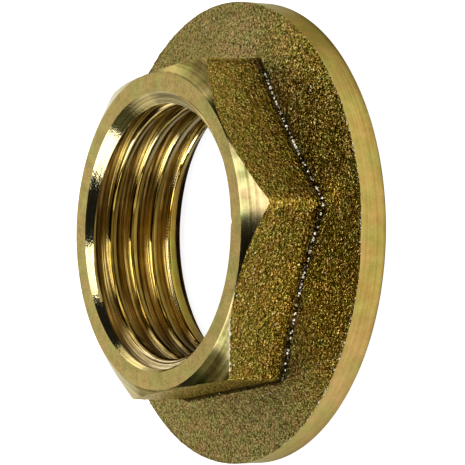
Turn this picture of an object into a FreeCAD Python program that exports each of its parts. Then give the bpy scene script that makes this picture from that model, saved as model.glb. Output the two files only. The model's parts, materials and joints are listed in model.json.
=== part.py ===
"""Flanged lock nut: one brass forging with a hexagon and a round flange, turned on its faces, rim and bore.

The frame has its origin at the centre of the flange's back face, with +Z along the thread axis towards the
hexagon's front face and +X through one of its corners. Lengths are millimetres and angles are degrees.
"""

import FreeCAD, Part
import math
import os

import Sketcher

# Driving dimensions: alias, value, what it sets.
SIZES = [
    ("nut_height", 8.55, "from the flange's back face to the turned front face"),
    ("flange_diameter", 34.2, "over the turned rim"),
    ("rim_thickness", 2.2, "of the flange at its rim"),
    ("rim_edge_break", 0.2, "on the rim's back edge"),
    ("flange_slope_deg", 10.0, "rise of the flange's forged face from the rim to the hexagon"),
    ("across_flats", 23.55, "of the hexagon, level with the rim's front edge"),
    ("hex_draft_deg", 1.2, "lean of the flats towards the axis"),
    ("corner_radius", 0.66, "of the hexagon's six upright corners"),
    ("root_fillet", 0.28, "where the hexagon meets the flange"),
    ("chamfer_inset", 0.19, "of the corner chamfer's inner circle from the flats"),
    ("chamfer_deg", 34.0, "of the corner chamfer below the front face"),
    ("turning_overrun", 1.0, "of the chamfer's cut past the hexagon's corners"),
    ("bore_diameter", 18.631, "minor diameter of a half-inch parallel pipe thread"),
    ("front_sink", 0.94, "radial width of the countersink at the front face"),
    ("back_sink", 1.07, "radial width of the countersink at the back face"),
    ("sink_deg", 45.0, "of both countersinks from the axis"),
]
HEX_SIDES = 6
UPRIGHT = 0.9
SAME_PLACE = 1e-4
PARTS_FOLDER = "parts"

BORE_RADIUS = "Sizes.bore_diameter / 2"
FLANGE_RADIUS = "Sizes.flange_diameter / 2"
HEX_CORNER_RADIUS = "Sizes.across_flats / sqrt(3)"
CHAMFER_START = "(Sizes.across_flats / 2 - Sizes.chamfer_inset)"
CHAMFER_END = f"({HEX_CORNER_RADIUS} + Sizes.turning_overrun)"


def make_sheet(doc):
    """A spreadsheet with one row for each driving dimension."""
    sheet = doc.addObject("Spreadsheet::Sheet", "Sizes")
    for row, (alias, value, meaning) in enumerate(SIZES, start=1):
        sheet.set(f"A{row}", alias)
        sheet.set(f"B{row}", str(value))
        sheet.setAlias(f"B{row}", alias)
        sheet.set(f"C{row}", meaning)
    doc.recompute()
    return sheet


def new_sketch(body, name, plane_role):
    """A sketch on one of the body's own origin planes."""
    sketch = body.newObject("Sketcher::SketchObject", name)
    plane = next(item for item in body.Origin.OriginFeatures if item.Role == plane_role)
    sketch.AttachmentSupport = [(plane, "")]
    sketch.MapMode = "FlatFace"
    return sketch


def bind_corner(sketch, direction, edge, expression):
    """Holds the start of an edge at a distance from the sketch's origin that the sheet sets."""
    if expression == "0":
        axis = -2 if direction == "DistanceX" else -1
        sketch.addConstraint(Sketcher.Constraint("PointOnObject", edge, 1, axis))
        return
    distance = float(sketch.evalExpression(expression))
    index = sketch.addConstraint(Sketcher.Constraint(direction, -1, 1, edge, 1, distance))
    sketch.setExpression(f"Constraints[{index}]", expression)


def draw_section(sketch, corners):
    """A closed section of straight edges whose corners are pairs of expressions: radius, height."""
    places = [[float(sketch.evalExpression(text)) for text in corner] for corner in corners]
    for start, end in zip(places, places[1:] + places[:1]):
        line = Part.LineSegment(FreeCAD.Vector(*start, 0), FreeCAD.Vector(*end, 0))
        sketch.addGeometry(line, False)
    for edge in range(len(corners)):
        following = (edge + 1) % len(corners)
        sketch.addConstraint(Sketcher.Constraint("Coincident", edge, 2, following, 1))
    for edge, (radius, height) in enumerate(corners):
        bind_corner(sketch, "DistanceX", edge, radius)
        bind_corner(sketch, "DistanceY", edge, height)


def draw_hexagon(sketch):
    """A regular hexagon with a corner on +X, held by the circle through its corners."""
    radius = float(sketch.evalExpression(HEX_CORNER_RADIUS))
    turns = [2 * math.pi * side / HEX_SIDES for side in range(HEX_SIDES)]
    corners = [FreeCAD.Vector(radius * math.cos(turn), radius * math.sin(turn), 0) for turn in turns]
    for start, end in zip(corners, corners[1:] + corners[:1]):
        sketch.addGeometry(Part.LineSegment(start, end), False)
    axis = FreeCAD.Vector(0, 0, 1)
    circle = sketch.addGeometry(Part.Circle(FreeCAD.Vector(0, 0, 0), axis, radius), True)
    sketch.addConstraint(Sketcher.Constraint("Coincident", circle, 3, -1, 1))
    for side in range(HEX_SIDES):
        following = (side + 1) % HEX_SIDES
        sketch.addConstraint(Sketcher.Constraint("Coincident", side, 2, following, 1))
        sketch.addConstraint(Sketcher.Constraint("PointOnObject", side, 1, circle))
    for side in range(1, HEX_SIDES):
        sketch.addConstraint(Sketcher.Constraint("Equal", 0, side))
    sketch.addConstraint(Sketcher.Constraint("PointOnObject", 0, 1, -1))
    index = sketch.addConstraint(Sketcher.Constraint("Radius", circle, radius))
    sketch.setExpression(f"Constraints[{index}]", HEX_CORNER_RADIUS)


def turn_feature(body, kind, name, sketch):
    """A full revolution or groove of a sketch about the thread axis."""
    feature = body.newObject(kind, name)
    feature.Profile = sketch
    feature.ReferenceAxis = (sketch, ["V_Axis"])
    feature.Angle = 360.0


def round_edges(body, name, edges, radius):
    """A fillet on named edges of the body's last feature."""
    base = body.Tip
    fillet = body.newObject("PartDesign::Fillet", name)
    fillet.Base = (base, edges)
    fillet.setExpression("Radius", radius)


def add_hexagon(doc, body):
    """The forged hexagon: its flats lean in from the rim's level upwards, and its corners are rounded."""
    sketch = new_sketch(body, "hexagon_outline", "XY_Plane")
    sketch.setExpression("AttachmentOffset.Base.z", "Sizes.rim_thickness")
    draw_hexagon(sketch)
    pad = body.newObject("PartDesign::Pad", "hexagon")
    pad.Profile = sketch
    pad.setExpression("Length", "Sizes.nut_height - Sizes.rim_thickness")
    doc.recompute()
    flats, foot = hexagon_faces(pad.Shape)
    draft = body.newObject("PartDesign::Draft", "flat_draft")
    draft.Base = (pad, flats)
    draft.NeutralPlane = (pad, [foot])
    draft.setExpression("Angle", "Sizes.hex_draft_deg * 1 deg")
    doc.recompute()
    round_edges(body, "corner_rounds", upright_edges(body.Shape), "Sizes.corner_radius")


def hexagon_faces(shape):
    """Names of the hexagonal prism's six flats, and of its lower end."""
    named = [(f"Face{number}", face) for number, face in enumerate(shape.Faces, start=1)]
    flats = [name for name, face in named if face.BoundBox.ZLength > SAME_PLACE]
    level = [(face.CenterOfMass.z, name) for name, face in named if name not in flats]
    return flats, min(level)[1]


def upright_edges(shape):
    """Names of the edges that run close to the direction of the thread axis."""
    names = []
    for number, edge in enumerate(shape.Edges, start=1):
        along = edge.Vertexes[-1].Point - edge.Vertexes[0].Point
        if abs(along.z) > UPRIGHT * along.Length:
            names.append(f"Edge{number}")
    return names


def add_flange(body):
    """The disc of the flange, whose forged face rises in a shallow cone towards the hexagon."""
    sketch = new_sketch(body, "flange_section", "XZ_Plane")
    rise = f"{FLANGE_RADIUS} * tan(Sizes.flange_slope_deg * 1 deg)"
    draw_section(
        sketch,
        [
            ("0", "0"),
            (f"{FLANGE_RADIUS} - Sizes.rim_edge_break", "0"),
            (FLANGE_RADIUS, "Sizes.rim_edge_break"),
            (FLANGE_RADIUS, "Sizes.rim_thickness"),
            ("0", f"Sizes.rim_thickness + {rise}"),
        ],
    )
    turn_feature(body, "PartDesign::Revolution", "flange", sketch)


def hexagon_root_edges(shape, rim_radius, rim_level):
    """Names of the edges where the hexagon meets the flange's sloping face, above the rim's front edge."""
    names = []
    for number, edge in enumerate(shape.Edges, start=1):
        faces = shape.ancestorsOfType(edge, Part.Face)
        on_slope = any(is_flange_slope(face, rim_radius, rim_level) for face in faces)
        above_rim = edge.BoundBox.ZMin > rim_level + SAME_PLACE
        if on_slope and above_rim:
            names.append(f"Edge{number}")
    return names


def is_flange_slope(face, rim_radius, rim_level):
    """Whether a face is the flange's sloping one: a cone that starts at the rim's front edge."""
    starts_at_rim = abs(face.BoundBox.ZMin - rim_level) < SAME_PLACE
    reaches_rim = abs(face.BoundBox.XMax - rim_radius) < SAME_PLACE
    return isinstance(face.Surface, Part.Cone) and starts_at_rim and reaches_rim


def turn_bore(body):
    """The bore at the thread's minor diameter, with a countersink at each end."""
    sketch = new_sketch(body, "bore_section", "XZ_Plane")
    draw_section(
        sketch,
        [
            ("0", "0"),
            (f"{BORE_RADIUS} + Sizes.back_sink", "0"),
            (BORE_RADIUS, "Sizes.back_sink / tan(Sizes.sink_deg * 1 deg)"),
            (BORE_RADIUS, "Sizes.nut_height - Sizes.front_sink / tan(Sizes.sink_deg * 1 deg)"),
            (f"{BORE_RADIUS} + Sizes.front_sink", "Sizes.nut_height"),
            ("0", "Sizes.nut_height"),
        ],
    )
    turn_feature(body, "PartDesign::Groove", "bore", sketch)


def turn_corner_chamfer(body):
    """The cone that takes the hexagon's corners off below the front face."""
    sketch = new_sketch(body, "chamfer_section", "XZ_Plane")
    drop = f"({CHAMFER_END} - {CHAMFER_START}) * tan(Sizes.chamfer_deg * 1 deg)"
    draw_section(
        sketch,
        [
            (CHAMFER_START, "Sizes.nut_height"),
            (CHAMFER_END, f"Sizes.nut_height - {drop}"),
            (CHAMFER_END, "Sizes.nut_height"),
        ],
    )
    turn_feature(body, "PartDesign::Groove", "corner_chamfer", sketch)


def build_nut(doc, sheet):
    """The nut in the order that it is made: forged hexagon and flange, then the turned bore and chamfer."""
    body = doc.addObject("PartDesign::Body", "lock_nut")
    body.Label = "lock_nut"
    add_hexagon(doc, body)
    add_flange(body)
    doc.recompute()
    root_edges = hexagon_root_edges(body.Shape, sheet.flange_diameter / 2, sheet.rim_thickness)
    round_edges(body, "root_rounds", root_edges, "Sizes.root_fillet")
    doc.recompute()
    forged_volume = body.Shape.Volume
    turn_bore(body)
    doc.recompute()
    bored_volume = body.Shape.Volume
    turn_corner_chamfer(body)
    doc.recompute()
    if not forged_volume > bored_volume > body.Shape.Volume:
        raise RuntimeError("a turned cut took nothing off the forging")
    return body


def check_document(doc, bodies):
    """Stops if an object failed to compute or a body's shape isn't one sound solid."""
    for item in doc.Objects:
        if "Invalid" in item.State or "Error" in item.State:
            raise RuntimeError(f"{item.Name} failed: {item.State}")
    for body in bodies:
        if body.Shape.isNull() or not body.Shape.isValid() or len(body.Shape.Solids) != 1:
            raise RuntimeError(f"{body.Label} is not one valid solid")


def main():
    doc = FreeCAD.newDocument("LockNut")
    sheet = make_sheet(doc)
    bodies = [build_nut(doc, sheet)]
    check_document(doc, bodies)
    os.makedirs(PARTS_FOLDER, exist_ok=True)
    for body in bodies:
        body.Shape.exportStep(f"{PARTS_FOLDER}/{body.Label}.step")
        box = body.Shape.BoundBox
        print(body.Label, "volume", round(body.Shape.Volume, 2), "faces", len(body.Shape.Faces))
        print("size", round(box.XLength, 3), round(box.YLength, 3), round(box.ZLength, 3))


main()
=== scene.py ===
"""Looks of the flanged lock nut: one brass forging with a real thread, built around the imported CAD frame.

Lengths in this script are millimetres unless a name says otherwise; MM turns them into the frame's metres.
The nut lies on its flange's back face, with +Z along the thread axis and +X through a corner of the hexagon.
A turn is an angle about that axis, from +X towards +Y.
"""

import json
import math
from dataclasses import dataclass

import bpy
import numpy as np
from mathutils import Matrix, Vector, noise


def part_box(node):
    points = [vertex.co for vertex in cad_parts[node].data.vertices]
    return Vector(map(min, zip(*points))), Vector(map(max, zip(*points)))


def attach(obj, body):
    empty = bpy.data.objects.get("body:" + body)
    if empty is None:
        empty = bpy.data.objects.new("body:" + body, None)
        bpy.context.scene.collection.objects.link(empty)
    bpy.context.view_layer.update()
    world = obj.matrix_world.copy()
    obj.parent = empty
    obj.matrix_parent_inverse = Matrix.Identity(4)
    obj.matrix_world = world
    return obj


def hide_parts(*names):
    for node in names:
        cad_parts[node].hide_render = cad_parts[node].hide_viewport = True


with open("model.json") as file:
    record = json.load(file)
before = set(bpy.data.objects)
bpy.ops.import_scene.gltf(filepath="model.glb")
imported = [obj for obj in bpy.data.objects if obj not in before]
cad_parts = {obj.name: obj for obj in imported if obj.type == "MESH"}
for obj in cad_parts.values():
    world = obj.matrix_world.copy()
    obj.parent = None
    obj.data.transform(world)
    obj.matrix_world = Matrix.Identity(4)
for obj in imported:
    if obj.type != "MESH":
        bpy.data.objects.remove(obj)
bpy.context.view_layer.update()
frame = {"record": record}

MM = 0.001
FULL_TURN = 2 * math.pi
SECTOR = math.pi / 3

# Sizes that the frame gives.
NODE = "lock_nut"
BOX_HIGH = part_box(NODE)[1]
HEIGHT = BOX_HIGH.z / MM
RIM_RADIUS = BOX_HIGH.x / MM
MOUNTS = {mount["name"]: mount for mount in frame["record"]["mounts"]}
MINOR_RADIUS = MOUNTS["thread_bore"]["dims"]["r_mm"]

# Sizes of the forging.
RIM_THICKNESS = 2.2
FLANGE_SLOPE = math.tan(math.radians(10.0))
ACROSS_FLATS = 23.55
HEX_DRAFT = math.tan(math.radians(1.2))
CORNER_RADIUS = 0.66
ROOT_FILLET, ROOT_HALF_ANGLE = 0.28, math.radians(50.0)
ROOT_REACH = ROOT_FILLET / math.tan(ROOT_HALF_ANGLE)

# Sizes of its turned faces.
RIM_EDGE_BREAK = 0.2
CHAMFER_INSET, FRONT_SINK, BACK_SINK = 0.19, 0.94, 1.07
CHAMFER_START = ACROSS_FLATS / 2 - CHAMFER_INSET
CHAMFER_SLOPE = math.tan(math.radians(34.0))
CHAMFER_LEAST, CHAMFER_GUESS = 0.02, 0.5
FRONT_MOUTH = MINOR_RADIUS + FRONT_SINK
BACK_MOUTH = MINOR_RADIUS + BACK_SINK

# The thread: 14 threads an inch, right-hand, with a 55 degree form.
PITCH = 25.4 / 14
FLANK_RUN = math.tan(math.radians(27.5))
THREAD_DEPTH = 1.1
# Half width of a crest's flat and the rounding beside it, on the crest's front and back sides.
CREST_HALF, CREST_ROUND = (0.0, 0.16), (0.12, 0.11)
# The front side of a crest is domed before it falls away.
DOME_RUN, DOME_SLOPE = 0.24, math.tan(math.radians(27.0))
ROOT_ROUND = 0.12
# Height of the first crest at turn 0, and how many turns below it the last crest lies.
FIRST_CREST, LAST_CREST = 5.67, 3
# The last crest is wider round one side.
LAND_EXTRA, LAND_TURN, LAND_SPREAD = 0.33, math.radians(185.0), math.radians(80.0)

# Marks that the tool left beside the last crest: their heights, and the middle and half length of each run.
CHATTER_LOW, CHATTER_HIGH, CHATTER_DEPTH = 0.80, 0.96, 0.03
CHATTER_RUNS = [(math.radians(188.0), math.radians(25.0)), (math.radians(145.5), math.radians(5.5))]

# Mesh density: columns round the axis, and rows along each stretch of the section.
COLUMNS = 498
ROWS = {"face": 5, "chamfer": 7, "wall": 30, "root": 10, "slope": 22, "rim": 7, "break": 2, "back": 8}
# Rows of the thread, as heights above a crest.
CREST_STEPS = [-0.86, -0.76, -0.62, -0.45, -0.30, -0.27, -0.24, -0.21, -0.185, -0.16,
               0.0, 0.08, 0.16, 0.24, 0.28, 0.32, 0.36, 0.48, 0.60, 0.74]
# Turns of rows that start below the back face, and turns more than the height holds.
TURNS_BELOW, TURNS_SPARE = 2, 3
SHARP_ANGLE = math.radians(25.0)
# Points of the bore this close to a mouth join it.
WELD = 0.004

# Heights and sizes of the forged skin's lumps; the grain's dimension, lacunarity and octaves.
SKIN_WAVE, SKIN_WAVE_SIZE = 0.05, 2.6
SKIN_GRAIN, SKIN_GRAIN_SIZE = 0.03, 0.42
GRAIN_FRACTAL = (0.6, 2.0, 2)

# Beads in a groove at the hexagon's foot; places and widths are shares of the fillet's run.
BEAD_HEIGHT, BEAD_SIZE, BEAD_GAIN = 0.13, 0.32, 2.0
CLUSTER_SIZE, CLUSTER_SHARE = 2.1, 0.5
RIDGE_PLACE, RIDGE_WIDTH = 0.52, 0.23
GROOVE_PLACE, GROOVE_WIDTH, GROOVE_DEPTH = 0.5, 0.55, 0.06

# A nick in the front mouth.
NICK_DEPTH, NICK_WIDTH, NICK_TURN = 0.15, 0.19, math.radians(-5.0)

# A broken burr along the rim's upper edge, with painted glints on it and a line of painted shade inside it.
RIM_BURR_HEIGHT, RIM_BURR_SHIFT = 0.05, 1.0
RIM_INNER_SHADE_SHARE, RIM_INNER_SHADE_INSET, RIM_INNER_SHADE_WIDTH = 0.5, 0.12, 0.08

# A burr at the end of one corner's chamfer, shown as a painted highlight line.
BURR_GLINT_STRENGTH, BURR_GLINT_TURN, BURR_GLINT_SPREAD = 3.0, math.radians(-48.5), math.radians(8.5)

# Painted shade at the foot of the hexagon's wall, as heights above the foot, and a deeper patch of it at one
# corner.
FOOT_SHADE_RISE, FOOT_SHADE_WIDTH = 0.2, 0.27
DEEP_SHADE_RISE, DEEP_SHADE_WIDTH = 0.3, 0.35
DEEP_SHADE_TURN, DEEP_SHADE_SPREAD = math.radians(-3.5), math.radians(3.5)

# Wear and painted highlight along the corners: all of them show some, and the one at turn 0 the most.
WEAR_HIGHLIGHT_LEAST, WEAR_HIGHLIGHT_SPREAD, ROOT_WEAR_HIGHLIGHT_SHARE = 0.35, 0.028, 0.5

# One corner of the hexagon shows as a painted highlight line with a painted shade line beside it.
EDGE_LIGHT, EDGE_LIGHT_SHARE = math.radians(60.9), 2.0
EDGE_DARK, EDGE_DARK_SHARE = math.radians(58.4), 0.55
EDGE_SPREAD = math.radians(0.8)

MATERIALS = ["forged", "turned_face", "chamfer", "turned_rim", "countersink", "thread"]
# Masks for painted glints, for painted shade, and for wear with painted highlight.
MASKS = ["bead_glint", "painted_shade", "wear_and_highlight"]


# Helpers for the section

def bell(value, width, power=2):
    """1 where value is 0, falling to 0 at a few widths from it; a higher power has a flatter top."""
    return np.exp(-((value / width) ** power))


def turn_from(turn, middle):
    """Turn counted from a middle, between half a turn back and half a turn on."""
    return (turn - middle + math.pi) % FULL_TURN - math.pi


def clipped_wave(turn, count, shift, gain, level):
    """A wave round the axis, cut off at 0 and 1."""
    return np.clip(gain * np.cos(count * turn + shift) + level, 0, 1)


def round_axis(turn, radius, height):
    """Points at a turn, a radius and a height, as (..., 3)."""
    return np.stack(np.broadcast_arrays(radius * np.cos(turn), radius * np.sin(turn), height), axis=-1)


def pair(radius, height, turn):
    """A radius and a height for each column, as (columns, 2)."""
    return np.stack([radius + 0 * turn, height + 0 * turn], axis=-1)


def stretch(start, end, rows):
    """Points from start up to, but not including, end: arrays of (rows, columns, 2)."""
    steps = np.linspace(0, 1, rows, endpoint=False)[:, None, None]
    return start[None] * (1 - steps) + end[None] * steps


def on_first_row(mask, rows):
    """A mask for a stretch of rows that is set on the first of them alone."""
    full = np.zeros((rows, len(mask)))
    full[0] = mask
    return full


# The forging's form and skin

def hexagon_radius(turn, height):
    """Distance from the axis to the hexagon's wall, with rounded corners."""
    apothem = ACROSS_FLATS / 2 - HEX_DRAFT * (height - RIM_THICKNESS)
    from_flat = (turn % SECTOR) - SECTOR / 2
    from_corner = SECTOR / 2 - np.abs(from_flat)
    flat = apothem / np.cos(from_flat)
    centre = (apothem - CORNER_RADIUS) / math.cos(SECTOR / 2)
    across = np.clip(CORNER_RADIUS**2 - (centre * np.sin(from_corner)) ** 2, 0, None)
    rounded = centre * np.cos(from_corner) + np.sqrt(across)
    on_flat = apothem * np.abs(np.tan(from_flat)) <= (apothem - CORNER_RADIUS) * math.tan(SECTOR / 2)
    return np.where(on_flat, flat, rounded)


def slope_height(radius):
    return RIM_THICKNESS + (RIM_RADIUS - radius) * FLANGE_SLOPE


def lump_at(place):
    wave = noise.noise(place / SKIN_WAVE_SIZE)
    grain = noise.fractal(place / SKIN_GRAIN_SIZE, *GRAIN_FRACTAL)
    return SKIN_WAVE * wave + SKIN_GRAIN * grain


def skin_height(turn, radius, height):
    """Height of the forged skin's lumps above its smooth form."""
    places = round_axis(turn, radius, height)
    lumps = [lump_at(Vector(place)) for place in places.reshape(-1, 3)]
    return np.array(lumps).reshape(places.shape[:-1])


def bead_at(place):
    return noise.noise(place / BEAD_SIZE) + CLUSTER_SHARE * noise.noise(place / CLUSTER_SIZE)


def bead_row(turn, radius):
    """Heights from 0 to 1 of a broken row of small beads along a line round the axis."""
    beads = [bead_at(Vector(place)) for place in round_axis(turn, radius, 0.0)]
    return np.clip(np.array(beads) * BEAD_GAIN, 0, 1)


# Stretches of the outside

def front_mouth(turn):
    """Inner edge of the front face, with its nick."""
    nick = bell(turn_from(turn, NICK_TURN) * FRONT_MOUTH, NICK_WIDTH)
    radius = np.maximum(FRONT_MOUTH, helix_radius(turn, HEIGHT))
    return pair(radius + NICK_DEPTH * nick, HEIGHT, turn)


def chamfer_end(turn):
    """Where the turned chamfer runs out into the rough wall of the hexagon, found in a few passes."""
    height = np.full_like(turn, HEIGHT - CHAMFER_GUESS)
    for _ in range(4):
        radius = hexagon_radius(turn, height)
        radius = radius + skin_height(turn, radius, height)
        height = HEIGHT - np.clip(radius - CHAMFER_START, CHAMFER_LEAST, None) * CHAMFER_SLOPE
    return np.stack([CHAMFER_START + (HEIGHT - height) / CHAMFER_SLOPE, height], axis=-1)


def foot_height(turn):
    """Height at which wall and slope would meet without the fillet, found in a few passes."""
    height = slope_height(hexagon_radius(turn, RIM_THICKNESS))
    for _ in range(3):
        height = slope_height(hexagon_radius(turn, height))
    return height


def root_outline(turn, foot):
    """Points that the root fillet starts from, bends towards and ends at."""
    radius = hexagon_radius(turn, foot)
    wall_foot = pair(hexagon_radius(turn, foot + ROOT_REACH), foot + ROOT_REACH, turn)
    corner = pair(radius, foot, turn)
    slope_top = pair(radius + ROOT_REACH, slope_height(radius + ROOT_REACH), turn)
    return wall_foot, corner, slope_top


def wall_rows(turn, wall_top, wall_foot):
    """Rough wall of the hexagon, from the chamfer down to the root fillet."""
    height = stretch(wall_top, wall_foot, ROWS["wall"])[:, :, 1]
    radius = hexagon_radius(turn[None], height)
    rows = np.stack([radius + skin_height(turn[None], radius, height), height], axis=-1)
    rows[0] = wall_top
    return rows


def root_rows(turn, wall_foot, corner, slope_top):
    """Root fillet with a row of beads in a groove, and the shares of ridge and groove in each row."""
    steps = np.linspace(0, 1, ROWS["root"], endpoint=False)[:, None]
    ridge = bell(steps - RIDGE_PLACE, RIDGE_WIDTH)
    groove = bell(steps - GROOVE_PLACE, GROOVE_WIDTH)
    along = steps[:, :, None]
    rows = (1 - along) ** 2 * wall_foot + 2 * along * (1 - along) * corner + along**2 * slope_top
    lumps = skin_height(turn[None], rows[:, :, 0], rows[:, :, 1])
    lumps = lumps + BEAD_HEIGHT * ridge * bead_row(turn, corner[:, 0])[None] - GROOVE_DEPTH * groove
    outward = np.array([math.sqrt(0.5), math.sqrt(0.5)])
    return rows + lumps[:, :, None] * outward, ridge, groove


def slope_rows(turn, slope_top):
    """Rough slope of the flange, from the root fillet out to the rim."""
    rows = stretch(slope_top, pair(RIM_RADIUS, RIM_THICKNESS, turn), ROWS["slope"])
    rows[:, :, 1] += skin_height(turn[None], rows[:, :, 0], rows[:, :, 1])
    return rows


def rim_top(turn):
    """Upper edge of the rim, with the skin's lumps and a broken burr."""
    lumps = skin_height(turn, RIM_RADIUS, RIM_THICKNESS)
    burr = RIM_BURR_HEIGHT * bead_row(turn + RIM_BURR_SHIFT, RIM_RADIUS)
    return pair(RIM_RADIUS, RIM_THICKNESS + (lumps + burr), turn)


# Masks that the forged material reads

def bead_glint_strength(turn):
    """How strongly each side of the hexagon shows painted glints on the beads at its foot: two opposite pairs
    of sides do.
    """
    return clipped_wave(turn, count=2, shift=0.1, gain=6.0, level=2.9)


def rim_burr_glint(turn):
    """1 along the side of the rim where its burr gets painted glints."""
    return clipped_wave(turn, count=1, shift=0.35, gain=2.2, level=-0.9)


def chamfer_burr_glint(turn):
    """More than 1 along the painted highlight of one chamfer's burr, so that it shows as a line without gaps.
    """
    return BURR_GLINT_STRENGTH * bell(turn_from(turn, BURR_GLINT_TURN), BURR_GLINT_SPREAD, power=4)


def edge_line(turn, middle):
    """1 along a thin upright line on the hexagon's wall."""
    return bell(turn - middle, EDGE_SPREAD)


def wear_and_highlight_mask(turn):
    """Wear and painted highlight along the hexagon's corners, with the painted highlight line at one of them.
    """
    off_corner = np.abs((turn + SECTOR / 2) % SECTOR - SECTOR / 2)
    share = WEAR_HIGHLIGHT_LEAST + (1 - WEAR_HIGHLIGHT_LEAST) * clipped_wave(turn, count=1, shift=0.0, gain=2.0, level=-1.0)
    return np.maximum(share * bell(off_corner, WEAR_HIGHLIGHT_SPREAD), EDGE_LIGHT_SHARE * edge_line(turn, EDGE_LIGHT))


def wall_foot_shade(turn, rise):
    """Painted shade at heights above the wall's foot, deeper at one corner, with a painted dark line at
    another.
    """
    foot = bell(rise - FOOT_SHADE_RISE, FOOT_SHADE_WIDTH)
    deep_shade = bell(turn_from(turn, DEEP_SHADE_TURN), DEEP_SHADE_SPREAD) * bell(rise - DEEP_SHADE_RISE, DEEP_SHADE_WIDTH)
    return np.maximum(np.maximum(foot, deep_shade), EDGE_DARK_SHARE * edge_line(turn, EDGE_DARK))


def rim_inner_shade(radius):
    """Painted shade on the slope just inside the rim's burr."""
    return RIM_INNER_SHADE_SHARE * bell(radius - RIM_RADIUS + RIM_INNER_SHADE_INSET, RIM_INNER_SHADE_WIDTH)


# The outside as a whole

def outer_parts(turn):
    """Stretches from the front mouth to the back mouth: each one's material, rows of points and masks."""
    chamfer_top = pair(CHAMFER_START, HEIGHT, turn)
    wall_top = chamfer_end(turn)
    foot = foot_height(turn)
    wall_foot, corner, slope_top = root_outline(turn, foot)
    wall = wall_rows(turn, wall_top, wall_foot)
    root, ridge, groove = root_rows(turn, wall_foot, corner, slope_top)
    slope = slope_rows(turn, slope_top)
    rim_foot = pair(RIM_RADIUS, RIM_EDGE_BREAK, turn)
    back_edge = pair(RIM_RADIUS - RIM_EDGE_BREAK, 0, turn)
    back_mouth = pair(np.maximum(BACK_MOUTH, helix_radius(turn, 0)), 0, turn)
    # Masks for the material: wear with painted highlight, painted shade at the foot and in the groove, and
    # painted glints.
    wear_and_highlight = wear_and_highlight_mask(turn)
    wall_masks = {"painted_shade": wall_foot_shade(turn, wall[:, :, 1] - foot), "wear_and_highlight": wear_and_highlight,
                  "bead_glint": on_first_row(chamfer_burr_glint(turn), ROWS["wall"])}
    root_masks = {"painted_shade": groove, "wear_and_highlight": ROOT_WEAR_HIGHLIGHT_SHARE * wear_and_highlight, "bead_glint": ridge * bead_glint_strength(turn)}
    return [
        ("turned_face", stretch(front_mouth(turn), chamfer_top, ROWS["face"]), {}),
        ("chamfer", stretch(chamfer_top, wall_top, ROWS["chamfer"]), {}),
        ("forged", wall, wall_masks),
        ("forged", root, root_masks),
        ("forged", slope, {"painted_shade": rim_inner_shade(slope[:, :, 0])}),
        ("turned_rim", stretch(rim_top(turn), rim_foot, ROWS["rim"]),
         {"bead_glint": on_first_row(rim_burr_glint(turn), ROWS["rim"])}),
        ("turned_rim", stretch(rim_foot, back_edge, ROWS["break"]), {}),
        ("turned_face", stretch(back_edge, back_mouth, ROWS["back"]), {}),
        ("turned_face", back_mouth[None], {}),
    ]


def outer_section(turn):
    """Points of the outside, the material between each row and the next, and the masks."""
    parts = outer_parts(turn)
    points = np.concatenate([rows for _, rows, _ in parts])
    materials = [MATERIALS.index(name) for name, rows, _ in parts for _ in range(len(rows))]
    masks = {}
    for name in MASKS:
        stretches = [given.get(name, 0) + np.zeros(rows.shape[:2]) for _, rows, given in parts]
        masks[name] = np.concatenate(stretches)
    return points, materials[:-1], masks


# Thread and countersinks

def crest_fall(signed):
    """How far the wall falls back from a crest at a distance along the axis, positive towards the front."""
    front = signed > 0
    dome_slope = np.where(front, DOME_SLOPE, 0.0)
    rounding = np.where(front, *CREST_ROUND)
    past_flat = np.abs(signed) - np.where(front, *CREST_HALF)
    past_dome = past_flat - np.where(front, DOME_RUN, 0.0)
    dome = np.clip(past_flat, 0, DOME_RUN)
    edge = np.clip(past_dome, 0, rounding)
    flank = np.clip(past_dome - rounding, 0, None)
    fall = dome_slope * (dome**2 / (2 * DOME_RUN) + edge)
    return fall + (1 / FLANK_RUN - dome_slope) * edge**2 / (2 * rounding) + flank / FLANK_RUN


def soft_step(value, width):
    """Value, rounded off to 0 where it falls below 0."""
    return np.where(value > width, value, np.clip(value + width, 0, None) ** 2 / (4 * width))


def helix_radius(turn, height):
    """Radius of the thread's wall; the last crest is wider on one side."""
    off_first = height - FIRST_CREST - PITCH * turn / FULL_TURN
    signed = (off_first + PITCH / 2) % PITCH - PITCH / 2
    thread = MINOR_RADIUS + THREAD_DEPTH - soft_step(THREAD_DEPTH - crest_fall(signed), ROOT_ROUND)
    off_last = off_first + LAST_CREST * PITCH
    wider = LAND_EXTRA * bell(turn - LAND_TURN, LAND_SPREAD, power=4)
    land = MINOR_RADIUS + crest_fall(np.clip(off_last - wider, 0, None))
    return np.where(off_last > 0, np.minimum(thread, land), thread)


def chatter(rise, turn):
    """1 at the small evenly spaced marks beside the last crest; rise is a row's height at turn 0."""
    on_row = (rise > CHATTER_LOW) & (rise < CHATTER_HIGH)
    nearby = sum(bell(turn - middle, half, power=4) for middle, half in CHATTER_RUNS)
    every_other = np.arange(COLUMNS) % 2 == 0
    return on_row[:, None] * nearby[None] * every_other[None]


def inner_section(turn):
    """Rows along the helix from below the back face to above the front face.

    Gives their points, where they lie on a countersink, the tool's marks, and the number of rows to a turn.
    """
    turns = math.ceil(HEIGHT / PITCH) + TURNS_SPARE
    start = (FIRST_CREST % PITCH) - TURNS_BELOW * PITCH
    rise = (start + np.arange(turns)[:, None] * PITCH + np.array(CREST_STEPS)[None]).ravel()
    height = rise[:, None] + PITCH * turn[None] / FULL_TURN
    marks = chatter(rise, turn)
    helix = helix_radius(turn[None], height) - CHATTER_DEPTH * marks
    cones = np.maximum(FRONT_MOUTH - (HEIGHT - height), BACK_MOUTH - height)
    points = np.stack([np.maximum(helix, cones), height], axis=-1)
    return points, cones >= helix, marks, len(CREST_STEPS)


# The mesh

def add_object(name, data):
    made = bpy.data.objects.new(name, data)
    bpy.context.scene.collection.objects.link(made)
    return made


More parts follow.
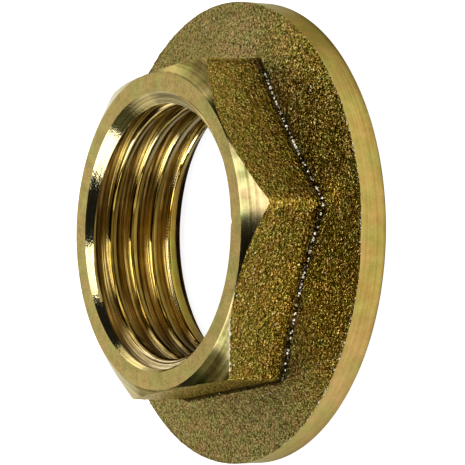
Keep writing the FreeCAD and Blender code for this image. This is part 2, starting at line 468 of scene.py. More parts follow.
class NutMesh:
    """Vertices and faces of the whole nut as one closed skin."""

    def __init__(self):
        self.turn = np.arange(COLUMNS) * FULL_TURN / COLUMNS
        self.places = []
        self.faces = []
        self.face_materials = []
        outer, materials, self.masks = outer_section(self.turn)
        self.outer_ids = self.add_rows(outer)
        for row, material in enumerate(materials):
            self.join(self.outer_ids[row], self.outer_ids[row + 1], material)
        self.add_bore()

    def add_rows(self, points):
        """Adds rows of (radius, height) points and gives their numbers as (rows, columns)."""
        first = sum(len(block) for block in self.places)
        block = round_axis(self.turn[None], points[..., 0], points[..., 1])
        self.places.append(block.reshape(-1, 3))
        shape = points.shape[:2]
        return first + np.arange(shape[0] * shape[1]).reshape(shape)

    def join(self, row, following, material):
        """Faces between two rows."""
        for column in range(COLUMNS):
            across = (column + 1) % COLUMNS
            self.add_face([row[column], following[column], following[across], row[across]], material)

    def add_face(self, ring, material):
        """A quad, or a triangle or nothing where its corners coincide."""
        corners = [corner for place, corner in enumerate(ring) if corner != ring[place - 1]]
        if len(set(corners)) > 2:
            self.faces.append(corners)
            self.face_materials.append(material)

    def add_bore(self):
        """The thread and both countersinks, welded to the outside at the front and back mouths."""
        points, sunk, marks, per_turn = inner_section(self.turn)
        ids = self.add_rows(points)
        for name in MASKS:
            bore_mask = marks if name == "bead_glint" else np.zeros(marks.shape)
            self.masks[name] = np.concatenate([self.masks[name], bore_mask])
        ids = np.where(points[..., 1] <= WELD, self.outer_ids[-1][None], ids)
        ids = np.where(points[..., 1] >= HEIGHT - WELD, self.outer_ids[0][None], ids)
        for row in range(len(ids) - 1):
            for column in range(COLUMNS):
                name = "countersink" if sunk[row, column] and sunk[row + 1, column] else "thread"
                self.add_bore_face(ids, row, column, per_turn, MATERIALS.index(name))

    def add_bore_face(self, ids, row, column, per_turn, material):
        """A face of the bore; past the last column the helix goes on one turn further up."""
        last = column + 1 == COLUMNS
        across = 0 if last else column + 1
        up = row + per_turn if last else row
        if up + 1 < len(ids):
            ring = [ids[row, column], ids[row + 1, column], ids[up + 1, across], ids[up, across]]
            self.add_face(ring, material)

    def to_object(self, name):
        places = np.concatenate(self.places) * MM
        used = np.zeros(len(places), bool)
        for face in self.faces:
            used[face] = True
        number = np.cumsum(used) - 1
        faces = [[int(number[corner]) for corner in face] for face in self.faces]
        mesh = bpy.data.meshes.new(name)
        mesh.from_pydata(places[used].tolist(), [], faces)
        mesh.polygons.foreach_set("material_index", np.array(self.face_materials, np.int32))
        mesh.polygons.foreach_set("use_smooth", np.ones(len(faces), bool))
        mesh.set_sharp_from_angle(angle=SHARP_ANGLE)
        for mask_name, mask in self.masks.items():
            attribute = mesh.attributes.new(mask_name, "FLOAT", "POINT")
            attribute.data.foreach_set("value", mask.ravel()[used])
        mesh.validate()
        mesh.update()
        return add_object(name, mesh)


# Node trees

# How much the height counts beside the radius along a tool's path.
LATHE_HEIGHT_SHARE = 0.83


class Shader:
    """The node tree of a material or a world, with short calls for adding and linking nodes."""

    def __init__(self, owner, output="ShaderNodeOutputMaterial"):
        self.owner = owner
        owner.use_nodes = True
        self.nodes = owner.node_tree.nodes
        self.links = owner.node_tree.links
        self.nodes.clear()
        self.output = self.nodes.new(output)

    def show(self, node):
        """Ends the tree with a node and gives the tree's owner."""
        self.links.new(node.outputs[0], self.output.inputs["Surface"])
        return self.owner

    def node(self, kind, inputs=None, **settings):
        made = self.nodes.new(kind)
        for key, value in settings.items():
            setattr(made, key, value)
        for key, value in (inputs or {}).items():
            if isinstance(value, bpy.types.NodeSocket):
                self.links.new(value, made.inputs[key])
            else:
                made.inputs[key].default_value = value
        return made

    def math(self, operation, first, second=0.0):
        return self.node("ShaderNodeMath", {0: first, 1: second}, operation=operation).outputs[0]

    def times(self, first, second):
        return self.math("MULTIPLY", first, second)

    def larger(self, first, second):
        return self.math("MAXIMUM", first, second)

    def weighted(self, *terms):
        """Sum of values, each times its weight."""
        total = self.times(*terms[0])
        for value, weight in terms[1:]:
            total = self.math("ADD", total, self.times(value, weight))
        return total

    def vector(self, operation, first, second=None, scale=None):
        inputs = {0: first}
        if second is not None:
            inputs[1] = second
        if scale is not None:
            inputs["Scale"] = scale
        made = self.node("ShaderNodeVectorMath", inputs, operation=operation)
        return made.outputs["Value" if operation in ("LENGTH", "DISTANCE") else "Vector"]

    def axes(self, place):
        return self.node("ShaderNodeSeparateXYZ", {0: place}).outputs

    def share(self, place, axis, whole):
        """A coordinate as a share of a whole length."""
        return self.math("DIVIDE", self.axes(place)[axis], whole)

    def mask(self, name):
        return self.node("ShaderNodeAttribute", attribute_name=name).outputs["Fac"]

    def noise(self, place, scale, detail=2.0, roughness=0.5):
        inputs = {"Vector": place, "Scale": scale, "Detail": detail, "Roughness": roughness}
        return self.node("ShaderNodeTexNoise", inputs).outputs["Fac"]

    def cells(self, place, scale, dimensions="3D"):
        inputs = {"Vector": place, "Scale": scale}
        return self.node("ShaderNodeTexVoronoi", inputs, voronoi_dimensions=dimensions).outputs

    def ramp(self, factor, stops):
        """Colours or greys at stops along a factor."""
        made = self.node("ShaderNodeValToRGB", {"Fac": factor})
        elements = made.color_ramp.elements
        while len(elements) < len(stops):
            elements.new(0.5)
        for element, (position, colour) in zip(elements, stops):
            element.position = position
            element.color = (*colour, 1.0) if isinstance(colour, tuple) else (colour, colour, colour, 1.0)
        return made.outputs["Color"]

    def blend(self, kind, factor, first, second):
        inputs = {0: factor, 6: first, 7: second}
        return self.node("ShaderNodeMix", inputs, data_type="RGBA", blend_type=kind).outputs[2]

    def tint(self, colour, factor, tint):
        """Colour times a tint where factor is 1."""
        return self.blend("MULTIPLY", factor, colour, (*tint, 1.0))

    def shade(self, colour, factor, stops):
        """Colour times what a ramp gives for factor."""
        return self.blend("MULTIPLY", 1.0, colour, self.ramp(factor, stops))

    def paint(self, colour, factor, paint):
        """Colour covered by another where factor is 1."""
        return self.blend("MIX", factor, colour, (*paint, 1.0))

    def span(self, value, low, high):
        """Value from 0..1 stretched to low..high."""
        inputs = {"Value": value, "To Min": low, "To Max": high}
        return self.node("ShaderNodeMapRange", inputs).outputs["Result"]

    def millimetres(self):
        """Object coordinates in millimetres."""
        return self.vector("SCALE", self.node("ShaderNodeTexCoord").outputs["Object"], scale=1 / MM)

    def flat_place(self, place):
        """Coordinates with the height left out."""
        return self.vector("MULTIPLY", place, (1.0, 1.0, 0.0))

    def from_axis(self, place):
        """Distance from the thread axis."""
        return self.vector("LENGTH", self.flat_place(place))

    def outward(self, place):
        """Direction away from the thread axis."""
        return self.vector("NORMALIZE", self.flat_place(place))

    def tool_lines(self, place, around, across, detail=1.5, roughness=0.6):
        """Fine lines along the tool's path: they change slowly round the axis and quickly across the path."""
        path = self.math("ADD", self.from_axis(place), self.times(self.axes(place)["Z"], LATHE_HEIGHT_SHARE))
        lift = self.node("ShaderNodeCombineXYZ", {"Z": self.times(path, across)}).outputs[0]
        drift = self.vector("SCALE", self.outward(place), scale=around)
        return self.noise(self.vector("ADD", drift, lift), 1.0, detail, roughness)

    def spot(self, place, centre, radius):
        """1 inside a round spot, fading to 0 outside it."""
        away = self.vector("DISTANCE", place, centre)
        return self.ramp(self.math("DIVIDE", away, 2 * radius), [(0.35, 1.0), (0.65, 0.0)])

    def scattered(self, place, scale, dot, crowd_scale, crowd, pick):
        """Small dots in some cells, more of them where a slow noise is high."""
        cells = self.cells(place, scale)
        dots = self.ramp(cells["Distance"], dot)
        crowded = self.ramp(self.noise(place, crowd_scale, 1.0), crowd)
        chosen = self.times(self.axes(cells["Color"])["X"], crowded)
        return self.times(dots, self.ramp(chosen, pick))

    def leaning(self, off):
        """The surface's normal, leaning by an offset."""
        smooth = self.node("ShaderNodeNewGeometry").outputs["Normal"]
        return self.vector("NORMALIZE", self.vector("ADD", smooth, off))

    def bump(self, height, distance, normal=None, strength=1.0):
        inputs = {"Height": height, "Distance": distance * MM, "Strength": strength}
        if normal is not None:
            inputs["Normal"] = normal
        return self.node("ShaderNodeBump", inputs).outputs["Normal"]

    def surface(self, **inputs):
        named = {key.replace("_", " "): value for key, value in inputs.items()}
        return self.show(self.node("ShaderNodeBsdfPrincipled", named))


# Forged skin

# Colours from the skin's hollows to its peaks, and the duller, paler ones of the flange's softer side, which
# paint the sheen of the light that falls broadly there.
FORGED_TONES = [(0.37, (0.030, 0.019, 0.001)), (0.475, (0.147, 0.100, 0.007)),
                (0.57, (0.33, 0.240, 0.036)), (0.67, (0.78, 0.63, 0.23))]
FORGED_SHEEN_TONES = [(0.38, (0.066, 0.053, 0.013)), (0.50, (0.198, 0.163, 0.054)),
                     (0.62, (0.39, 0.328, 0.140))]
FORGED_TINTS = [(0.36, (1.10, 0.93, 0.98)), (0.64, (0.93, 1.02, 0.88))]
# The hexagon's wall is more even towards the front, by shares of the nut's height.
FORGED_EVEN, WALL_EVENNESS = (0.215, 0.160, 0.026), [(0.40, 0.0), (0.55, 0.30), (0.90, 0.42)]
# The softer side of the flange, which also gets painted sheen, by shares of the rim's radius along X and of
# the nut's height.
SOFT_SIDE, SOFT_BELOW = [(0.32, 1.0), (0.70, 0.0)], [(0.37, 1.0), (0.41, 0.0)]

# Patches of painted light on the flange: centre, radius, strength and tint. One is paler and two are
# brighter.
PATCHES = [
    ((3.8, 12.9, 2.75), 2.5, 0.3, (2.0, 2.0, 2.4)),
    ((14.5, 0.5, 2.65), 1.0, 1.0, (1.7, 1.6, 1.4)),
    ((12.2, -8.0, 2.6), 4.0, 1.0, (1.35, 1.33, 1.2)),
]
# Small pits in the flange's slope, drawn as dark spots of painted shade, as centres and radii.
PITS = [((3.48, 13.52, 2.74), 0.14), ((4.42, 13.09, 2.77), 0.13), ((4.79, 13.16, 2.73), 0.10)]
PIT_SHADE_TINT = (0.05, 0.05, 0.04)

# Scales to a millimetre of the skin's grain, of its facets, of its tint and of the beads.
GRAIN_SCALE, FINE_SCALE, FACET_SCALE, TINT_SCALE, BEAD_SCALE = 4.4, 9.0, 7.5, 1.2, 4.3
GRAIN_SHARE, FINE_SHARE, FACET_SHARE = 0.28, 0.54, 0.18
GRAIN_BUMP, FINE_BUMP = 0.12, 0.05
FACET_LEAN = 0.5
FACET_EVENNESS = [(0.55, 0.08), (0.92, 0.38)]

FORGED_GLINTS = {"scale": 1.9, "dot": [(0.08, 1.0), (0.15, 0.0)], "crowd_scale": 0.30,
                 "crowd": [(0.40, 0.15), (0.62, 1.0)], "pick": [(0.40, 0.0), (0.75, 1.0)]}
# Painted glints on the beads: size of the drops, which cells keep one, and how the mask shows them.
BEAD_DOT, BEAD_KEPT = [(0.33, 1.0), (0.45, 0.0)], [(0.22, 0.0), (0.42, 1.0)]
BEAD_SHOWN = [(0.30, 0.0), (0.50, 1.0)]
BURR_GLINT_SHOWN, PAINTED_SHADE_SHOWN = [(0.40, 0.0), (0.55, 1.0)], [(0.1, 0.0), (0.8, 1.0)]
# Colours of the painted glints on the beads and of the scattered ones.
BEAD_GLINT_COLOUR, GLINT_COLOUR = (1.0, 0.96, 0.82), (0.97, 0.94, 0.80)
# Tints for wear with painted highlight, and for painted shade.
WEAR_HIGHLIGHT_TINT, PAINTED_SHADE_TINT = (1.9, 1.85, 1.6), (0.08, 0.07, 0.05)
FORGED_EDGE_TINT = (0.85, 0.76, 0.52, 1.0)


def soft_and_sheened_sides(shader, place):
    """1 on the part of the flange whose skin is softer and carries painted sheen, 0 on the hexagon and on the
    flange's other side.
    """
    side = shader.ramp(shader.share(place, "X", RIM_RADIUS), SOFT_SIDE)
    return shader.times(side, shader.ramp(shader.share(place, "Z", HEIGHT), SOFT_BELOW))


def forged_colour(shader, place, height, speck, soft):
    """Olive-gold grain with its duller side of painted sheen, patches of painted light, and pits of painted
    shade.
    """
    # Duller, paler colours of painted sheen on the soft side.
    dull = shader.ramp(speck, FORGED_SHEEN_TONES)
    colour = shader.blend("MIX", soft, shader.ramp(speck, FORGED_TONES), dull)
    colour = shader.paint(colour, shader.ramp(height, WALL_EVENNESS), FORGED_EVEN)
    colour = shader.shade(colour, shader.noise(place, TINT_SCALE, detail=1.0), FORGED_TINTS)
    # Patches of painted light.
    for centre, radius, strength, patch_tint in PATCHES:
        colour = shader.tint(colour, shader.times(shader.spot(place, centre, radius), strength), patch_tint)
    # Pits as dark spots of painted shade.
    for centre, radius in PITS:
        colour = shader.tint(colour, shader.spot(place, centre, radius), PIT_SHADE_TINT)
    return colour


def bead_glint_dots(shader, place, bead_glint):
    """1 on round drops along the row of beads, which get painted glints."""
    drops = shader.cells(place, BEAD_SCALE, dimensions="2D")
    dots = shader.ramp(drops["Distance"], BEAD_DOT)
    dots = shader.times(dots, shader.ramp(shader.axes(drops["Color"])["X"], BEAD_KEPT))
    return shader.times(dots, shader.ramp(bead_glint, BEAD_SHOWN))


def forged_normal(shader, height, soft, dots, grain, fine, tones):
    """Small facets that lean every way, less so on the soft side, near the front and on the beads."""
    even = shader.larger(shader.span(soft, 0.08, 0.32), shader.ramp(height, FACET_EVENNESS))
    lean = shader.span(shader.larger(dots, even), FACET_LEAN, 0.0)
    off = shader.vector("SUBTRACT", tones, (0.5, 0.5, 0.5))
    normal = shader.leaning(shader.vector("SCALE", off, scale=lean))
    normal = shader.bump(grain, GRAIN_BUMP, normal)
    return shader.bump(fine, FINE_BUMP, normal)


def forged_brass():
    """Grit-blasted forging: olive-gold grain with painted glints and pits of painted shade, and beads along
    its edges with painted glints.
    """
    shader = Shader(bpy.data.materials.new("forged_brass"))
    place = shader.millimetres()
    height = shader.share(place, "Z", HEIGHT)
    grain = shader.noise(place, GRAIN_SCALE, detail=1.0)
    fine = shader.noise(place, FINE_SCALE, detail=0.0)
    tones = shader.cells(place, FACET_SCALE)["Color"]
    tone = shader.axes(tones)["Y"]
    speck = shader.weighted((grain, GRAIN_SHARE), (fine, FINE_SHARE), (tone, FACET_SHARE))
    soft = soft_and_sheened_sides(shader, place)
    bead_glint = shader.mask("bead_glint")
    dots = bead_glint_dots(shader, place, bead_glint)
    # Painted glints: scattered specks, and the highlight line of one chamfer's burr.
    burr = shader.ramp(shader.math("DIVIDE", bead_glint, BURR_GLINT_STRENGTH), BURR_GLINT_SHOWN)
    glint = shader.larger(shader.scattered(place, **FORGED_GLINTS), burr)
    colour = forged_colour(shader, place, height, speck, soft)
    # Wear and painted highlight along the corners.
    colour = shader.tint(colour, shader.mask("wear_and_highlight"), WEAR_HIGHLIGHT_TINT)
    # Painted shade at the hexagon's foot, in the groove, beside one corner and inside the rim.
    colour = shader.tint(colour, shader.ramp(shader.mask("painted_shade"), PAINTED_SHADE_SHOWN), PAINTED_SHADE_TINT)
    # White drops of painted glint on the beads.
    colour = shader.paint(colour, dots, BEAD_GLINT_COLOUR)
    colour = shader.paint(colour, glint, GLINT_COLOUR)
    metallic = shader.span(glint, 0.95, 0.1)
    roughness = shader.math("ADD", shader.span(fine, 0.36, 0.20), shader.times(soft, 0.15))
    normal = forged_normal(shader, height, soft, dots, grain, fine, tones)
    return shader.surface(Base_Color=colour, Metallic=metallic, Roughness=roughness, Normal=normal,
                          Specular_Tint=FORGED_EDGE_TINT)


# Turned faces

@dataclass
class TurnedFinish:
    """How one turned face looks."""

    name: str
    dark: tuple
    light: tuple
    roughness: float
    ring_depth: float
    # How fast the tool's rings change across its path and along it.
    across: float = 9.0
    around: float = 1.5
    # Share of fine grain in the colour, strength of the dark specks, and brightness at grazing angles.
    grain: float = 0.25
    specks: float = 0.0
    edge: float = 1.0
    # Whether the face is shaded towards the two ends of the Y axis.
    shaded: bool = False


FACE_FINISH = TurnedFinish("turned_face_brass", dark=(0.192, 0.148, 0.040), light=(0.333, 0.264, 0.083),
                           roughness=0.42, ring_depth=0.004, grain=0.55)
CHAMFER_FINISH = TurnedFinish("chamfer_brass", dark=(0.12, 0.099, 0.031), light=(0.42, 0.37, 0.165),
                              roughness=0.14, ring_depth=0.012, across=6.5, around=0.8, grain=0.0)
RIM_FINISH = TurnedFinish("turned_rim_brass", dark=(0.40, 0.29, 0.064), light=(0.58, 0.44, 0.12),
                          roughness=0.33, ring_depth=0.005, specks=0.8, edge=0.62, shaded=True)

TURNED_DARK, TURNED_LIGHT = 0.38, 0.60
TURNED_TINTS = [(0.36, (1.08, 0.95, 1.04)), (0.64, (0.93, 1.04, 0.97))]
# Shares of rings and grain together, and of mottling, in a turned face's colour.
RINGS_SHARE, MOTTLE_SHARE = 0.65, 0.35
# Roughness of the smoothest and the roughest rings, and the colour at grazing angles, as shares.
RING_SMOOTH, RING_ROUGH = 0.75, 1.3
EDGE_HUE = (1.0, 0.93, 0.75)
SPECK_TINT = (0.35, 0.28, 0.22)

# Shade along the rim from its lowest to its highest Y, and along its lower edge on one side.
RIM_SHADE = [
    (0.035, (0.83, 0.87, 1.2)), (0.095, (0.92, 0.92, 1.2)), (0.18, (0.98, 0.97, 1.15)),
    (0.30, (1.0, 1.0, 1.0)), (0.68, (1.0, 1.0, 1.0)), (0.80, (0.73, 0.74, 0.74)),
    (0.85, (0.50, 0.51, 0.44)), (0.92, (0.53, 0.54, 0.46)), (0.965, (0.85, 0.92, 1.15)),
]
RIM_FOOT, RIM_FOOT_SIDE = [(0.03, 1.0), (0.075, 0.0)], [(0.25, 0.0), (0.6, 0.7)]
RIM_FOOT_TINT = (0.55, 0.48, 0.28)


def dark_specks(shader, place, colour, strength):
    specks = shader.scattered(place, scale=1.3, dot=[(0.07, 1.0), (0.15, 0.0)], crowd_scale=0.22,
                              crowd=[(0.45, 0.2), (0.62, 1.0)], pick=[(0.4, 0.0), (0.8, strength)])
    return shader.tint(colour, specks, SPECK_TINT)


def rim_shade(shader, place, colour):
    side = shader.share(place, "Y", RIM_RADIUS)
    along = shader.times(shader.math("ADD", side, 1.0), 0.5)
    colour = shader.shade(colour, along, RIM_SHADE)
    foot = shader.ramp(shader.share(place, "Z", HEIGHT), RIM_FOOT)
    foot = shader.times(foot, shader.ramp(side, RIM_FOOT_SIDE))
    return shader.tint(colour, foot, RIM_FOOT_TINT)


def turned_brass(finish):
    """Brass off the lathe: fine rings that follow the tool, faint mottling, and a satin or polished shine."""
    shader = Shader(bpy.data.materials.new(finish.name))
    place = shader.millimetres()
    rings = shader.tool_lines(place, finish.around, finish.across)
    mottle = shader.noise(place, 1.1, detail=3.0, roughness=0.55)
    grain = shader.noise(place, 8.0, detail=2.0, roughness=0.6)
    rings_share = RINGS_SHARE - finish.grain
    mixed = shader.weighted((rings, rings_share), (mottle, MOTTLE_SHARE), (grain, finish.grain))
    colour = shader.ramp(mixed, [(TURNED_DARK, finish.dark), (TURNED_LIGHT, finish.light)])
    if finish.specks:
        colour = dark_specks(shader, place, colour, finish.specks)
    colour = shader.shade(colour, shader.noise(place, 0.6, detail=2.5), TURNED_TINTS)
    if finish.shaded:
        colour = rim_shade(shader, place, colour)
    roughness = shader.span(rings, finish.roughness * RING_SMOOTH, finish.roughness * RING_ROUGH)
    edge_tint = [finish.edge * part for part in EDGE_HUE]
    return shader.surface(Base_Color=colour, Metallic=1.0, Roughness=roughness,
                          Normal=shader.bump(rings, finish.ring_depth), Specular_Tint=(*edge_tint, 1.0))


# Thread

THREAD_TONES = [(0.36, (0.300, 0.198, 0.044)), (0.62, (0.700, 0.495, 0.152))]
THREAD_LINES_SHARE, THREAD_MOTTLE_SHARE = 0.7, 0.3
# Tints from the crests, at depth 0, to the roots, at depth 1: darker and greyer at the crests, much darker at
# the roots.
THREAD_DEPTH_TINTS = [(0.06, (0.64, 0.61, 0.44)), (0.16, (0.90, 0.90, 0.88)),
                 (0.80, (1.0, 0.97, 1.0)), (0.95, (0.14, 0.10, 0.07))]
# Painted light and shade along the bore from its highest Y to its lowest; its bright bands stand in for
# reflections of the lamps.
THREAD_SHADE = [
    (0.02, (0.80, 0.76, 0.62)), (0.07, (0.70, 0.66, 0.54)), (0.125, (1.75, 1.84, 1.75)),
    (0.16, (1.42, 1.48, 1.40)), (0.20, (0.76, 0.75, 0.69)), (0.28, (0.76, 0.75, 0.69)),
    (0.35, (1.18, 1.18, 1.09)), (0.45, (1.42, 1.44, 1.34)), (0.535, (1.75, 1.82, 1.68)),
    (0.655, (1.42, 1.45, 1.34)), (0.80, (1.55, 1.57, 1.58)), (0.94, (0.80, 0.92, 1.65)),
]
# Painted shade: the first turn is darker where Y is near 0, by shares of the nut's height and of the bore's
# radius.
FIRST_TURN, FIRST_TURN_SIDE = [(0.66, 0.0), (0.76, 0.36)], [(0.35, 1.0), (0.55, 0.0)]
# Painted highlights: crests are paler at the bore's highest Y, and the last crest is brighter all round.
CREST_BAND, LAST_CREST_BAND = [(0.10, 1.0), (0.24, 0.0)], [(0.19, 1.0), (0.25, 0.0)]
LAST_CREST_TINT = (2.5, 2.45, 2.3)
PALE_CREST_SIDE, PALE_CREST = [(0.62, 0.0), (0.85, 1.0)], (0.86, 0.74, 0.40)
# The tool's marks get painted glints in a pale colour, and their normals lean away.
MARK_SHOWN, MARK_GLINT_COLOUR, MARK_LEAN = [(0.25, 0.0), (0.55, 1.0)], (0.97, 0.90, 0.66), -0.15
# Crests are polished, and the flanks have satin tool grooves.
THREAD_ROUGHNESS, LINES_ROUGHNESS = [(0.10, 0.03), (0.40, 0.24)], 0.09
LINES_BUMP, GROOVES_BUMP, GROOVES_STRENGTH = 0.019, 0.18, [(0.10, 0.1), (0.30, 1.0)]
THREAD_AROUND, LINES_ACROSS, GROOVES_ACROSS = 0.6, 8.0, 3.5


def thread_colour(shader, place, lines, depth):
    """Brass tinted by depth, with painted light and shade along the bore, painted shade on its first turn and
    painted highlights on its crests.
    """
    mottle = shader.noise(place, 0.9)
    mixed = shader.weighted((lines, THREAD_LINES_SHARE), (mottle, THREAD_MOTTLE_SHARE))
    colour = shader.shade(shader.ramp(mixed, THREAD_TONES), depth, THREAD_DEPTH_TINTS)
    height = shader.share(place, "Z", HEIGHT)
    low = shader.share(place, "Y", -MINOR_RADIUS)
    # Painted shade on the first turn.
    first = shader.ramp(height, FIRST_TURN)
    first = shader.times(first, shader.ramp(shader.math("ABSOLUTE", low), FIRST_TURN_SIDE))
    colour = shader.tint(colour, first, (0.0, 0.0, 0.0))
    # Painted light and shade along the bore.
    down = shader.times(shader.math("ADD", low, 1.0), 0.5)
    colour = shader.shade(colour, down, THREAD_SHADE)
    # Painted highlights on the crests.
    crest = shader.ramp(depth, CREST_BAND)
    last = shader.times(crest, shader.ramp(height, LAST_CREST_BAND))
    colour = shader.tint(colour, last, LAST_CREST_TINT)
    pale = shader.times(crest, shader.ramp(shader.times(low, -1.0), PALE_CREST_SIDE))
    return shader.paint(colour, pale, PALE_CREST)


def thread_normal(shader, place, lines, depth, marks):
    """Fine tool lines, coarser grooves on the flanks, and marks that face away from the crest's shine."""
    off = shader.vector("SCALE", shader.outward(place), scale=shader.times(marks, MARK_LEAN))
    normal = shader.bump(lines, LINES_BUMP, shader.leaning(off))
    grooves = shader.tool_lines(place, THREAD_AROUND, GROOVES_ACROSS, detail=1.0, roughness=0.5)
    return shader.bump(grooves, GROOVES_BUMP, normal, shader.ramp(depth, GROOVES_STRENGTH))


def thread_brass():
    """Polished thread: tool lines, marks with painted glints, satin flanks and much darker roots."""
    shader = Shader(bpy.data.materials.new("thread_brass"))
    place = shader.millimetres()
    lines = shader.tool_lines(place, THREAD_AROUND, LINES_ACROSS)
    depth = shader.math("SUBTRACT", shader.from_axis(place), MINOR_RADIUS)
    depth = shader.math("DIVIDE", depth, THREAD_DEPTH)
    marks = shader.mask("bead_glint")
    mark = shader.ramp(marks, MARK_SHOWN)
    # Painted glints on the tool's marks.
    colour = shader.paint(thread_colour(shader, place, lines, depth), mark, MARK_GLINT_COLOUR)
    metallic = shader.span(mark, 1.0, 0.15)
    roughness = shader.ramp(depth, THREAD_ROUGHNESS)
    roughness = shader.math("ADD", roughness, shader.times(lines, LINES_ROUGHNESS))
    normal = thread_normal(shader, place, lines, depth, marks)
    around = shader.node("ShaderNodeTangent", direction_type="RADIAL", axis="Z").outputs[0]
    return shader.surface(Base_Color=colour, Metallic=metallic, Roughness=roughness, Normal=normal,
                          Tangent=around, Anisotropic=0.85, Anisotropic_Rotation=0.25)


# Countersinks

SINK_TONES = [(0.38, (0.50, 0.43, 0.21)), (0.60, (0.76, 0.68, 0.38))]
# Painted shade: the countersink at the back is black, by shares of the nut's height.
SINK_BACK = [(0.13, 0.03), (0.15, 1.0)]
# One end of the front cone is rough, with dark lines; where it is, by shares of the bore's radius.
ROUGH_END_X, ROUGH_END_Y = [(0.0, 0.0), (0.16, 1.0)], [(0.3, 0.0), (0.5, 1.0)]
ROUGH_END_LINES, ROUGH_END_ROUGHNESS = [(0.42, (0.45, 0.42, 0.35)), (0.54, (1.0, 1.0, 1.0))], 0.45
SMEAR_BUMP, SINK_LINES_BUMP, SCUFF_BUMP = 0.016, 0.004, 0.006


def countersink_brass():
    """Polished cone with oily smears that break up what it mirrors, and painted black shade at the back."""
    shader = Shader(bpy.data.materials.new("countersink_brass"))
    place = shader.millimetres()
    lines = shader.tool_lines(place, around=1.5, across=9.0)
    smear = shader.noise(place, 1.6, detail=3.0, roughness=0.6)
    scuff = shader.noise(place, 6.0, detail=2.0, roughness=0.6)
    # Painted black shade on the back countersink.
    colour = shader.shade(shader.ramp(lines, SINK_TONES), shader.share(place, "Z", HEIGHT), SINK_BACK)
    rough_end = shader.times(shader.ramp(shader.share(place, "X", MINOR_RADIUS), ROUGH_END_X),
                             shader.ramp(shader.share(place, "Y", MINOR_RADIUS), ROUGH_END_Y))
    colour = shader.blend("MULTIPLY", rough_end, colour, shader.ramp(lines, ROUGH_END_LINES))
    roughness = shader.span(smear, 0.04, 0.16)
    roughness = shader.math("ADD", roughness, shader.times(rough_end, ROUGH_END_ROUGHNESS))
    normal = shader.bump(smear, SMEAR_BUMP)
    normal = shader.bump(lines, SINK_LINES_BUMP, normal)
    normal = shader.bump(scuff, SCUFF_BUMP, normal)
    return shader.surface(Base_Color=colour, Metallic=1.0, Roughness=roughness, Normal=normal)


def nut_materials():
    """The nut's materials, in the order of MATERIALS."""
    turned = [turned_brass(finish) for finish in (FACE_FINISH, CHAMFER_FINISH, RIM_FINISH)]
    return [forged_brass(), *turned, countersink_brass(), thread_brass()]


def add_nut():
    nut = NutMesh().to_object("lock_nut_brass")
    for material in nut_materials():
        nut.data.materials.append(material)
    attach(nut, "root")
    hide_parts(NODE)


# Floor

# Side of the floor in metres, and how far it lies below the nut, so that no two faces coincide.
FLOOR_SIDE, FLOOR_DROP = 3.0, 0.01
FLOOR_DIFFUSE, FLOOR_SHOWN = (0.65, 0.65, 0.65, 1.0), (0.9, 0.9, 0.9)
# What metal mirrors of the floor: its glow by distance from the nut, in metres, and where the nut shades it.
FLOOR_MIRRORED = [(0.06, (0.62, 0.62, 0.62)), (0.30, (0.38, 0.34, 0.22))]
FLOOR_SHADE_REACH, FLOOR_SHADE = 0.03, [(0.48, 0.0), (0.66, 1.0)]


def floor_white():
    """White floor: it glows for camera and mirror rays, and still takes the nut's shadow."""
    shader = Shader(bpy.data.materials.new("floor_white"))
    path = shader.node("ShaderNodeLightPath").outputs
    seen = shader.larger(path["Is Camera Ray"], path["Is Glossy Ray"])
    seen = shader.larger(seen, path["Is Transmission Ray"])
    open_sky = shader.node("ShaderNodeAmbientOcclusion", {"Distance": FLOOR_SHADE_REACH}, samples=16)
    lit = shader.ramp(open_sky.outputs["AO"], FLOOR_SHADE)
    away = shader.vector("LENGTH", shader.node("ShaderNodeTexCoord").outputs["Object"])
    pool = shader.ramp(away, FLOOR_MIRRORED)
    mirrored = shader.blend("MULTIPLY", 1.0, pool, shader.times(lit, seen))
    shown = shader.paint(mirrored, path["Is Camera Ray"], FLOOR_SHOWN)
    glow = shader.node("ShaderNodeEmission", {"Color": shown, "Strength": 1.0})
    diffuse = shader.node("ShaderNodeBsdfDiffuse", {"Color": FLOOR_DIFFUSE})
    return shader.show(shader.node("ShaderNodeAddShader", {0: diffuse.outputs[0], 1: glow.outputs[0]}))


def add_floor():
    half = FLOOR_SIDE / 2
    low = -FLOOR_DROP * MM
    corners = [(-half, -half, low), (half, -half, low), (half, half, low), (-half, half, low)]
    mesh = bpy.data.meshes.new("floor")
    mesh.from_pydata(corners, [], [(0, 1, 2, 3)])
    mesh.materials.append(floor_white())
    floor = add_object("floor", mesh)


# Lights; lengths here are metres, and a lamp of radiance 1 reflects as white

CEILING, PANEL_DISTANCE = 0.35, 0.45


def add_lamp(name, size, radiance, colour=(1.0, 1.0, 1.0)):
    lamp = bpy.data.lights.new(name, "AREA")
    lamp.shape = "RECTANGLE"
    lamp.color = colour
    lamp.size, lamp.size_y = size
    lamp.energy = radiance * math.pi * size[0] * size[1]
    return add_object(name, lamp)


def add_softbox(name, low, high, radiance):
    """A ceiling panel over a rectangle, given in steps sideways for one step up."""
    size = ((high[0] - low[0]) * CEILING, (high[1] - low[1]) * CEILING)
    box = add_lamp(name, size, radiance)
    box.location = ((low[0] + high[0]) / 2 * CEILING, (low[1] + high[1]) / 2 * CEILING, CEILING)


def add_panel(name, heading, size, radiance, colour=(1.0, 1.0, 1.0)):
    """An upright panel that faces the nut from a heading."""
    panel = add_lamp(name, size, radiance, colour)
    back = Vector(heading).normalized()
    panel.matrix_world = back.to_track_quat("Z", "Y").to_matrix().to_4x4()
    panel.location = back * PANEL_DISTANCE


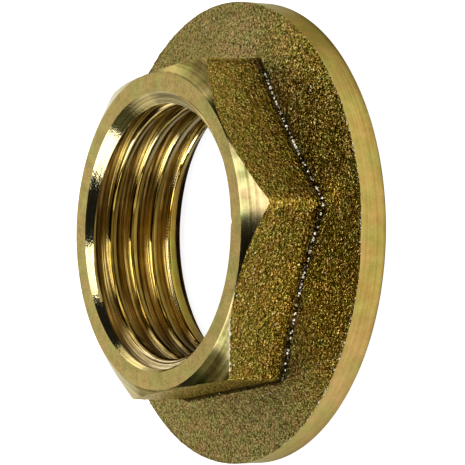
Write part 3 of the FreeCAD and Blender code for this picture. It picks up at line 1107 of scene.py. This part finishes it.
def add_lights():
    add_softbox("softbox_right", (0.08, 0.09), (0.68, 0.67), radiance=3.2)
    add_softbox("softbox_left", (-0.40, -1.30), (0.22, -0.45), radiance=3.2)
    add_softbox("softbox_far", (-1.50, 0.65), (-0.45, 1.25), radiance=1.5)
    add_panel("panel_far", (-0.868, 0.061, 0.46), (0.42, 0.20), radiance=2.4)
    add_panel("panel_side", (-0.49, 0.75, 0.44), (0.22, 0.24), radiance=0.8, colour=(1.0, 0.9, 0.6))
    add_panel("panel_dim", (-0.446, -0.742, 0.48), (0.21, 0.14), radiance=0.06, colour=(1.0, 0.96, 0.38))
    add_panel("panel_low", (-0.41, -0.584, 0.70), (0.12, 0.12), radiance=0.3, colour=(1.0, 0.93, 0.5))
    add_panel("panel_near", (0.68, -0.64, 0.26), (0.25, 0.20), radiance=3.2)
    add_panel("panel_fill", (0.50, 0.80, 0.24), (0.25, 0.20), radiance=1.3)


# World: its glow from the horizon, at 0, upwards
WORLD_GLOW = [(0.0, (0.45, 0.40, 0.28)), (0.2, (0.80, 0.74, 0.56)), (0.33, (0.60, 0.55, 0.41)),
              (0.40, (0.012, 0.012, 0.012))]


def add_world():
    """A dark studio with a pale glow near the horizon."""
    shader = Shader(bpy.data.worlds.new("studio"), output="ShaderNodeOutputWorld")
    rise = shader.axes(shader.node("ShaderNodeTexCoord").outputs["Generated"])["Z"]
    glow = shader.node("ShaderNodeBackground", {"Color": shader.ramp(rise, WORLD_GLOW)})
    bpy.context.scene.world = shader.show(glow)


# Camera, matched to the photograph's outlines
PICTURE_SIDE_PX = 465
FOCAL_LENGTH_PX = 2700
SENSOR_WIDTH = 36.0
CLIP_START_M = 0.01
CAMERA_AIM = (-0.803, 0.151, 1.273)
CAMERA_DISTANCE = 201.47
CAMERA_AZIMUTH = math.radians(-9.458)
CAMERA_ELEVATION = math.radians(32.695)
CAMERA_ROLL = math.radians(88.97)


def add_camera():
    back = Vector((
        math.cos(CAMERA_ELEVATION) * math.cos(CAMERA_AZIMUTH),
        math.cos(CAMERA_ELEVATION) * math.sin(CAMERA_AZIMUTH),
        math.sin(CAMERA_ELEVATION),
    ))
    level = Vector((-math.sin(CAMERA_AZIMUTH), math.cos(CAMERA_AZIMUTH), 0.0))
    upright = back.cross(level)
    up = upright * math.cos(CAMERA_ROLL) + level * math.sin(CAMERA_ROLL)
    right = up.cross(back)
    lens = bpy.data.cameras.new("camera")
    lens.sensor_width = SENSOR_WIDTH
    lens.lens = SENSOR_WIDTH * FOCAL_LENGTH_PX / PICTURE_SIDE_PX
    lens.clip_start = CLIP_START_M
    camera = add_object("camera", lens)
    camera.matrix_world = Matrix((right, up, back)).transposed().to_4x4()
    camera.location = (Vector(CAMERA_AIM) + back * CAMERA_DISTANCE) * MM
    bpy.context.scene.camera = camera


add_nut()
add_floor()
add_lights()
add_world()
add_camera()
bpy.context.scene.view_settings.view_transform = "Standard"
